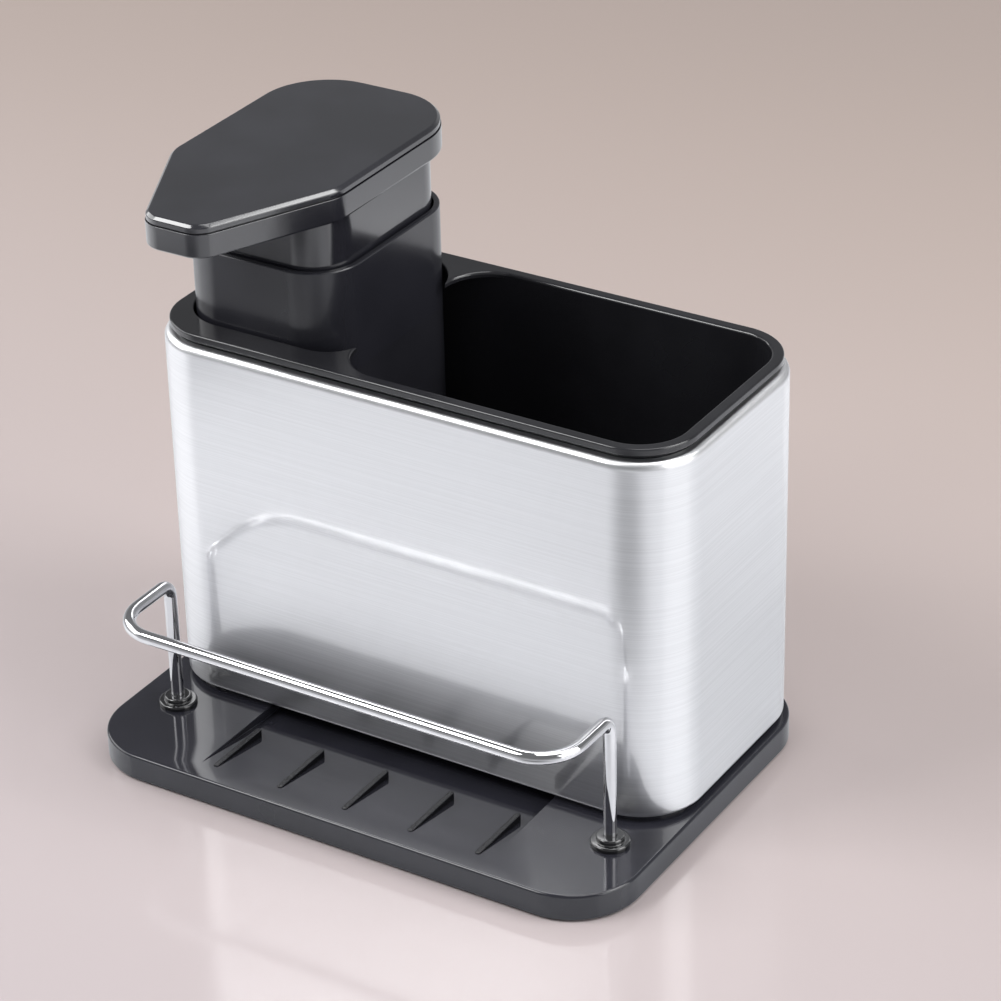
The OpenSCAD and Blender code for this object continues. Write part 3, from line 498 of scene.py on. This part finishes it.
# Ribs: the tray's plastic made darker as painted shade, with paler scuffed tops that are also a painted
# highlight
RIB_WEAR_AND_PAINTED_SHADE = worn_tops_with_painted_light(
    "rib_wear_and_painted_shade", (0.006, 0.006, 0.007), (0.024, 0.024, 0.028), low=RIB_TOP - 0.3, high=RIB_TOP - 0.02
)
TUB_BLACK = plastic("tub_gloss", (0.018, 0.018, 0.021), (0.024, 0.024, 0.028), (0.14, 0.2), coat=0.4)
COLLAR_BLACK = plastic(
    "collar_gloss", (0.02, 0.02, 0.026), (0.024, 0.024, 0.031), (0.24, 0.27), coat=0.35, coat_rough=0.14
)
HEAD_BLACK = plastic(
    "head_gloss", (0.017, 0.017, 0.022), (0.023, 0.023, 0.03), (0.12, 0.18),
    coat=1, coat_rough=0.1, ior=1.75,
)
RING_BLACK = plastic("ring_gloss", (0.008, 0.008, 0.009), (0.014, 0.014, 0.015), (0.06, 0.1), coat=1)
TANK_GREY = plastic("tank_gloss", (0.02, 0.02, 0.025), (0.026, 0.026, 0.032), (0.12, 0.18), coat=0.3)
SATIN_BLACK = plastic(
    "satin_black", (0.012, 0.012, 0.013), (0.02, 0.02, 0.022), (0.38, 0.5), grain=0.012, grain_scale=700
)
PUMP_WHITE = plastic("pump_white", (0.74, 0.74, 0.71), (0.8, 0.8, 0.78), (0.3, 0.4), grain=0.008)
RUBBER = plastic(
    "rubber_matte", (0.016, 0.016, 0.016), (0.024, 0.024, 0.023), (0.6, 0.75), grain=0.02, grain_scale=600
)
SEAL = plastic("seal_rubber", (0.2, 0.2, 0.21), (0.27, 0.27, 0.28), (0.5, 0.65), grain=0.01)
STEEL = brushed("brushed_steel", (0.845, 0.85, 0.87), (0.925, 0.93, 0.952))
CHROME = metal("chrome", (0.72, 0.72, 0.74), (0.82, 0.82, 0.84), (0.04, 0.09))
PLATED = metal("plated_screw", (0.5, 0.5, 0.51), (0.64, 0.64, 0.65), (0.2, 0.34), scale=200, depth=0.004)

# Materials of the model's own nodes
LOOKS = [
    (TRAY_BLACK, ["base_tray"]),
    (TUB_BLACK, ["inner_tub"]),
    (COLLAR_BLACK, ["bottle_collar"]),
    (HEAD_BLACK, ["head_panel", "head_housing", "press_skirt"]),
    (RING_BLACK, ["leg_rings"]),
    (TANK_GREY, ["soap_tank"]),
    (SATIN_BLACK, ["closure_plate", "pump_ring", "nozzle_tip"]),
    (PUMP_WHITE, ["pump_cylinder", "stem_guide", "ball_cage", "dip_tube"]),
    (PUMP_WHITE, ["press_stem", "pump_piston", "outlet_duct"]),
    (RUBBER, ["tray_feet"]),
    (SEAL, ["tank_seal", "closure_gasket", "piston_seal"]),
    (STEEL, ["steel_sleeve"]),
    (CHROME, ["wire_rail", "inlet_ball", "return_spring"]),
    (PLATED, ["sleeve_screws", "sleeve_nuts", "rail_washers", "rail_nuts", "head_screws"]),
]
for look, names in LOOKS:
    for name in names:
        for material_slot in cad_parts[name].material_slots:
            material_slot.material = look


# Pieces
def dress(obj, body, slot, *nodes):
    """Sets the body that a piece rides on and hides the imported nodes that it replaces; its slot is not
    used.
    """
    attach(obj, body)
    if nodes:
        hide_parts(*nodes)


# Top panel of the press head
panel = solid(
    "head_top",
    HEAD,
    [
        (PANEL_FOOT_MIDDLE, BODY_TOP, 0), (PANEL_JOINT, BODY_TOP, 0),
        (PANEL_JOINT, BODY_TOP + PANEL_JOINT_H, 0),
        (PANEL_INSET, BODY_TOP + PANEL_JOINT_H, PANEL_FOOT_EDGE),
        (PANEL_INSET, HEAD_TOP - PANEL_CHAMFER, PANEL_EDGE),
        (PANEL_INSET + PANEL_CHAMFER, HEAD_TOP, PANEL_EDGE), (PANEL_MIDDLE, HEAD_TOP, 0),
    ],
    HEAD_BLACK, steps=7,
)
dress(panel, "press_head", "head_black", "head_panel")

# Side band of the press head, with its floor and the boss for the stem
band = sweep(
    "head_body",
    HEAD,
    [
        (0, HEAD_Z, BAND_EDGE), (0, BODY_TOP, BAND_TOP_EDGE), (HEAD_WALL, BODY_TOP, BAND_INNER_EDGE),
        (HEAD_WALL, HEAD_Z + HEAD_WALL, BAND_FILLET), (HEAD_MOUTH, HEAD_Z + HEAD_WALL, 0),
        (HEAD_MOUTH, HEAD_Z, 0),
    ],
    HEAD_BLACK,
)
floor_plate = solid(
    "head_floor", HEAD, upright(HEAD_Z, HEAD_Z + HEAD_WALL, HEAD_MOUTH - OVER), HEAD_BLACK, seg=16
)
boss = lathe(
    "head_boss",
    [
        (BOSS_BORE, BOSS_Z, BOSS_BORE_EDGE), (BOSS_R, BOSS_Z, BOSS_EDGE), (BOSS_R, HEAD_Z + BOSS_LAP, 0),
        (BOSS_BORE, HEAD_Z + BOSS_LAP, 0),
    ],
    BOTTLE_X, BOTTLE_Y, HEAD_BLACK,
)
dress(join([band, floor_plate, boss], "head_body"), "press_head", "head_black", "head_housing")

# Skirt under the press head
skirt = sweep(
    "head_skirt",
    BOTTLE,
    [
        (SKIRT_OUT, SKIRT_Z, SKIRT_EDGE), (SKIRT_OUT, HEAD_Z, 0), (SKIRT_MOUTH, HEAD_Z, 0),
        (SKIRT_MOUTH, HEAD_Z - SKIRT_PLATE, SKIRT_MOUTH_EDGE),
        (SKIRT_IN, HEAD_Z - SKIRT_PLATE, SKIRT_FILLET), (SKIRT_IN, SKIRT_Z, SKIRT_EDGE),
    ],
    HEAD_BLACK,
)
dress(skirt, "press_head", "head_black", "press_skirt")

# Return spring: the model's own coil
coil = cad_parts["return_spring"]
spring = bpy.data.objects.new("spring", coil.data.copy())
bpy.context.collection.objects.link(spring)
spring.matrix_world = coil.matrix_world
dress(spring, "pump_unit", "spring_steel", "return_spring")
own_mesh(spring)

# Steel sleeve: one sheet rolled over at the top and turned in at the foot
sleeve = sweep(
    "sleeve",
    SLEEVE,
    [
        (0, SLEEVE_Z, 2 * SHEET), (0, SLEEVE_TOP, ROLL_R), (LIP, SLEEVE_TOP, LIP_EDGE),
        (LIP, SLEEVE_TOP - SHEET, LIP_EDGE), (SHEET, SLEEVE_TOP - SHEET, ROLL_R - SHEET),
        (SHEET, SLEEVE_Z + SHEET, SHEET), (FLANGE, SLEEVE_Z + SHEET, 0), (FLANGE, SLEEVE_Z, 0),
    ],
    STEEL, seg=32, steps=10,
)
dress(sleeve, "base", "sleeve_steel", "steel_sleeve")

# Rail of one bent wire: the right half's path, and then the left half's, which mirrors it
right_half = [
    (LEG_X, LEG_Y, LEG_END, 0), (LEG_X, LEG_Y, RAIL_Z, LEG_BEND), (LEG_X, RAIL_Y, RAIL_Z, RAIL_CORNER)
]
left_half = [(-x, y, z, r) for x, y, z, r in reversed(right_half)]
rail = pipe("rail", right_half + left_half, WIRE_R, CHROME)
dress(rail, "base", "rail_chrome", "wire_rail")

# Bottle collar, with the plug that sits in the tank
collar = sweep(
    "collar",
    BOTTLE,
    [
        (0, TANK_TOP, COLLAR_FOOT_EDGE), (0, COLLAR_TOP, COLLAR_EDGE),
        (COLLAR_WALL, COLLAR_TOP, COLLAR_EDGE), (COLLAR_WALL, SHELF_TOP, COLLAR_FILLET),
        (SHELF_INSET, SHELF_TOP, SHELF_EDGE), (SHELF_INSET, TANK_TOP, SHELF_FOOT_EDGE),
        (PLUG_IN, TANK_TOP, 0), (PLUG_IN, PLUG_Z, PLUG_EDGE),
        (PLUG_OUT, PLUG_Z, PLUG_EDGE), (PLUG_OUT, TANK_TOP, 0),
    ],
    COLLAR_BLACK,
)
dress(collar, "bottle", "collar_black", "bottle_collar")


# Tub: its outside, less the compartment, the openings in the deck and the drain holes
def mouth(name, outline, edge):
    """Cutter for an opening whose upper edge is rounded."""
    profile = [(0, RIM_TOP - MOUTH_DEPTH, 0)]
    for k in range(MOUTH_STEPS + 1):
        angle = math.pi / 2 * k / MOUTH_STEPS
        profile.append((edge * (math.cos(angle) - 1), RIM_TOP + edge * (math.sin(angle) - 1), 0))
    profile.append((-edge, RIM_TOP + MOUTH_DEPTH, 0))
    return solid(name, outline, profile, smooth=0)


def drain_cutter(number, x, y):
    """Cutter for one round hole in the tub's floor."""
    outline = (corners_around(x, y, 2 * DRAIN_R, 2 * DRAIN_R), [DRAIN_R] * 4)
    profile = upright(TUB_Z - OVER, TUB_FLOOR + OVER)
    return solid(f"cut_drain_{number}", outline, profile, seg=16, smooth=0)


tub = solid(
    "tub",
    SLEEVE,
    [
        (MIDDLE, TUB_Z, 0), (TUB_INSET, TUB_Z, TUB_EDGE), (TUB_INSET, JOINT_Z, 0),
        (JOINT_INSET, JOINT_Z, 0), (JOINT_INSET, JOINT_TOP, JOINT_EDGE),
        (RIM_INSET, JOINT_TOP, RIM_FOOT_EDGE), (RIM_INSET, RIM_TOP, RIM_EDGE), (MIDDLE, RIM_TOP, 0),
    ],
    TUB_BLACK,
)
opening = (corners(OPENING_LEFT, CAVITY_RIGHT, CAVITY_FRONT, CAVITY_BACK), [OPENING_R] * 4)
bay = (corners(CAVITY_LEFT, BAY_RIGHT, BAY_FRONT, CAVITY_BACK), BAY_RADII)
drains = [(DRAIN_X, DRAIN_Y)]
for k in range(DRAINS_ROUND):
    turn = 2 * math.pi * k / DRAINS_ROUND
    drains.append((DRAIN_X + DRAIN_PITCH * math.cos(turn), DRAIN_Y + DRAIN_PITCH * math.sin(turn)))
carve(
    tub,
    *[drain_cutter(k, x, y) for k, (x, y) in enumerate(drains)],
    solid("cut_cavity", SLEEVE, upright(TUB_FLOOR, RIM_TOP - DECK, CAVITY + CAVITY_CLEARANCE), smooth=0),
    mouth("cut_opening", opening, OPENING_EDGE),
    mouth("cut_bay", bay, BAY_EDGE),
)
shade(tub)
dress(tub, "tub", "tub_black", "inner_tub")

# Tray with its sunk ramp, hollow below, and the ledge that carries the sleeve
tray = solid(
    "tray",
    TRAY,
    [(MIDDLE, TRAY_Z, 0), (0, TRAY_Z, TRAY_FOOT_EDGE), (0, TRAY_TOP, TRAY_EDGE), (MIDDLE, TRAY_TOP, 0)],
    TRAY_BLACK,
)
ramp_floor = TRAY_TOP - RAMP_DEPTH
ramp = [
    (RAMP_Y, TRAY_TOP), (SLEEVE_FRONT, ramp_floor), (RAMP_END, ramp_floor), (RAMP_END, TRAY_TOP + OVER),
    (RAMP_Y, TRAY_TOP + OVER),
]
carve(
    tray,
    prism("cut_ramp", ramp, -RAMP_X, RAMP_X),
    solid("cut_under", TRAY, upright(TRAY_Z - OVER, PLATE_Z, TRAY_WALL), smooth=0),
)
bevel(tray, TRAY_BEVEL)
shade(tray)

ledge_foot = TRAY_TOP - OVER
ledge = sweep(
    "tray_ledge",
    SLEEVE,
    [
        (LEDGE_OUT, ledge_foot, 0), (LEDGE_OUT, SLEEVE_Z, 0), (LEDGE_IN, SLEEVE_Z, 0),
        (LEDGE_IN, ledge_foot, 0),
    ],
    TRAY_BLACK, smooth=0,
)
ledge_gap = corners(SLEEVE_FRONT - OVER, LEDGE_CUT_Y, ledge_foot - OVER, SLEEVE_Z + OVER)
carve(ledge, prism("cut_ledge", ledge_gap, -RAMP_X, RAMP_X))
shade(ledge)
dress(join([tray, ledge], "tray"), "base", "tray_black", "base_tray")


# Ribs
def rib(x):
    """Bar that rises from the ramp: flat on top, with a rounded front tip."""
    outline = (corners_around(x, RAMP_Y + RIB_L / 2, RIB_W, RIB_L), [RIB_R] * 4)
    profile = [(0, RIB_FOOT, 0), (0, RIB_TOP, RIB_EDGE), (RIB_MIDDLE, RIB_TOP, 0)]
    return solid(f"rib_{x}", outline, profile, RIB_WEAR_AND_PAINTED_SHADE, seg=8)


ribs = [rib((k - (RIB_COUNT - 1) / 2) * RIB_PITCH) for k in range(RIB_COUNT)]
dress(join(ribs, "tray_ribs"), "base", "tray_black")


# Leg rings
def leg_ring(x):
    """Stepped ring round a leg, with a foot in the tray's hole."""
    bore = WIRE_R + RING_GAP
    step = TRAY_TOP + RING_STEP_H
    profile = [
        (bore, RING_Z, 0), (RING_FOOT_R, RING_Z, 0), (RING_FOOT_R, TRAY_TOP, 0),
        (RING_R, TRAY_TOP, RING_FOOT_EDGE), (RING_R, step, RING_EDGE), (RING_STEP_R, step, RING_FILLET),
        (RING_STEP_R, RING_TOP, RING_EDGE), (bore, RING_TOP, RING_BORE_EDGE),
    ]
    return lathe(f"leg_ring_{x}", profile, x, LEG_Y, RING_BLACK)


dress(join([leg_ring(-LEG_X), leg_ring(LEG_X)], "leg_rings_fine"), "base", "ring_black", "leg_rings")

# Stage: colours of the ground in front, behind and far away, and in reflections
# The ground darkens and warms from near to behind to far away: painted shade where the light falls off
GROUND_NEAR = (0.6, 0.53, 0.54)
GROUND_BACK = (0.61, 0.505, 0.46)
GROUND_FAR = (0.54, 0.45, 0.415)
GROUND_REFLECTED = (0.76, 0.765, 0.79)
GROUND_SIZE, GROUND_REACH = 8, 2.2
ROOM_DARK, ROOM_PALE = (0.19, 0.192, 0.196), (0.36, 0.363, 0.37)
# Spots that only reflections show on the floor: place and half size in metres, and tone
FLOOR_SPOTS = [
    ((0.12, -0.24), (0.15, 0.18), 0.14),
    ((-0.28, -0.31), (0.1, 0.13), 0.1),
    ((-0.1, -0.45), (0.34, 0.15), 0.04),
    ((-0.25, -0.07), (0.1, 0.12), 0.9),
    ((0.14, 0.32), (0.12, 0.12), 1),
]
# Blue of a spot's colour, as a multiple of its tone
SPOT_BLUE = 1.03
# Lamps: azimuth in degrees, height, distance, width and tallness in metres, and power in watts
LAMPS = {
    "top": (120, 1.4, 0.25, 0.9, 0.7, 4.5),
    "key": (-46, 1.15, 0.95, 0.75, 0.6, 10),
    "high_right": (109, 1.1, 0.9, 0.6, 0.5, 5.5),
    "left": (-80, 0.65, 1.2, 1.2, 0.7, 6.5),
    "right": (92, 0.55, 1.3, 1.1, 1.0, 7.5),
}
LAMP_AIM = (0, 0, 0.08)


def spot(nodes, links, place, half_x, half_y):
    """Soft spot on the floor: 1 in its middle, 0 at its edge and beyond."""
    where = nodes.new("ShaderNodeTexCoord")
    spread = nodes.new("ShaderNodeMapping")
    spread.vector_type = "TEXTURE"
    spread.inputs["Location"].default_value = (*place, 0)
    spread.inputs["Scale"].default_value = (half_x, half_y, 1)
    fade = nodes.new("ShaderNodeTexGradient")
    fade.gradient_type = "SPHERICAL"
    links.new(where.outputs["Object"], spread.inputs["Vector"])
    links.new(spread.outputs["Vector"], fade.inputs["Vector"])
    return fade.outputs["Fac"]


def floor_material():
    """Pale ground with a faint sheen, darker and warmer to the back as painted shade, evenly pale far away.

    Reflections show it neutral, with a studio's three dark flags and two pale cards beside the object.
    """
    mat, nodes, links, skin = new_material("pale_floor")
    depth = between(nodes, links, coordinate(nodes, links, "Object", "Y"), 0, 1, start=-0.3, end=0.6)
    warm = shade_mix(nodes, links, depth, GROUND_NEAR, GROUND_BACK)
    neutral = GROUND_REFLECTED
    for place, half, tone in FLOOR_SPOTS:
        share = between(nodes, links, spot(nodes, links, place, *half), 0, 0.9, start=0, end=0.8)
        neutral = shade_mix(nodes, links, share, neutral, (tone, tone, tone * SPOT_BLUE))
    camera_ray = nodes.new("ShaderNodeLightPath").outputs["Is Camera Ray"]
    links.new(shade_mix(nodes, links, camera_ray, neutral, warm), skin.inputs["Base Color"])
    skin.inputs["Roughness"].default_value = 0.12
    skin.inputs["Specular IOR Level"].default_value = 0.5
    near = spot(nodes, links, (0, 0), GROUND_REACH, GROUND_REACH)
    far = nodes.new("ShaderNodeEmission")
    far.inputs["Color"].default_value = (*GROUND_FAR, 1)
    blend = nodes.new("ShaderNodeMixShader")
    far_share = times(nodes, links, between(nodes, links, near, 1, 0, start=0.35, end=0.75), camera_ray)
    links.new(far_share, blend.inputs[0])
    links.new(skin.outputs[0], blend.inputs[1])
    links.new(far.outputs[0], blend.inputs[2])
    links.new(blend.outputs[0], nodes["Material Output"].inputs["Surface"])
    return mat


def softbox(name, azimuth, height, distance, width, tall, power):
    """Area light at an azimuth from the front towards the right, aimed at the middle of the object."""
    lamp = bpy.data.lights.new(name, "AREA")
    lamp.shape = "RECTANGLE"
    lamp.size, lamp.size_y, lamp.energy = width, tall, power
    turn = math.radians(azimuth)
    place = Vector((distance * math.sin(turn), -distance * math.cos(turn), height))
    obj = bpy.data.objects.new(name, lamp)
    obj.location = place
    obj.rotation_euler = (Vector(LAMP_AIM) - place).to_track_quat("-Z", "Y").to_euler()
    obj.visible_camera = False
    bpy.context.collection.objects.link(obj)


def studio_world():
    """Dim room with a pale band near the horizon, and the far ground's colour where the camera looks."""
    world = bpy.data.worlds.new("studio")
    world.use_nodes = True
    nodes, links = world.node_tree.nodes, world.node_tree.links
    wall = between(nodes, links, coordinate(nodes, links, "Generated", "Z"), 1, 0, start=0.18, end=0.36)
    room = shade_mix(nodes, links, wall, ROOM_DARK, ROOM_PALE)
    camera_ray = nodes.new("ShaderNodeLightPath").outputs["Is Camera Ray"]
    air = nodes["Background"]
    links.new(shade_mix(nodes, links, camera_ray, room, GROUND_FAR), air.inputs["Color"])
    air.inputs["Strength"].default_value = 1
    return world


bpy.ops.mesh.primitive_plane_add(size=GROUND_SIZE, location=(0, 0, 0))
floor = bpy.context.object
floor.name = "floor"
floor.data.materials.append(floor_material())
bpy.context.scene.world = studio_world()
for name, values in LAMPS.items():
    softbox(name, *values)

# Camera, as solved from the photograph
AZIMUTH, ELEVATION, ROLL = math.radians(32.155), math.radians(29.248), math.radians(1.442)
LOOK_AT, CAMERA_DISTANCE = Vector((0, 0.03804, 0.07816)), 1.255
FOCAL_PIXELS, PICTURE_PIXELS, SENSOR, FARTHEST = 3600.7, 1001, 36, 20

flat_x, flat_y = math.sin(AZIMUTH), -math.cos(AZIMUTH)
backward = Vector((flat_x * math.cos(ELEVATION), flat_y * math.cos(ELEVATION), math.sin(ELEVATION)))
level_right = Vector((math.cos(AZIMUTH), math.sin(AZIMUTH), 0))
level_up = backward.cross(level_right)
rolled_right = level_right * math.cos(ROLL) - level_up * math.sin(ROLL)
rolled_up = level_right * math.sin(ROLL) + level_up * math.cos(ROLL)
lens = bpy.data.cameras.new("camera")
lens.sensor_width, lens.lens = SENSOR, FOCAL_PIXELS / PICTURE_PIXELS * SENSOR
lens.clip_end = FARTHEST
camera = bpy.data.objects.new("camera", lens)
turned = Matrix((rolled_right, rolled_up, backward)).transposed().to_4x4()
camera.matrix_world = Matrix.Translation(LOOK_AT + backward * CAMERA_DISTANCE) @ turned
bpy.context.collection.objects.link(camera)
bpy.context.scene.camera = camera
bpy.context.scene.view_settings.view_transform = "Standard"
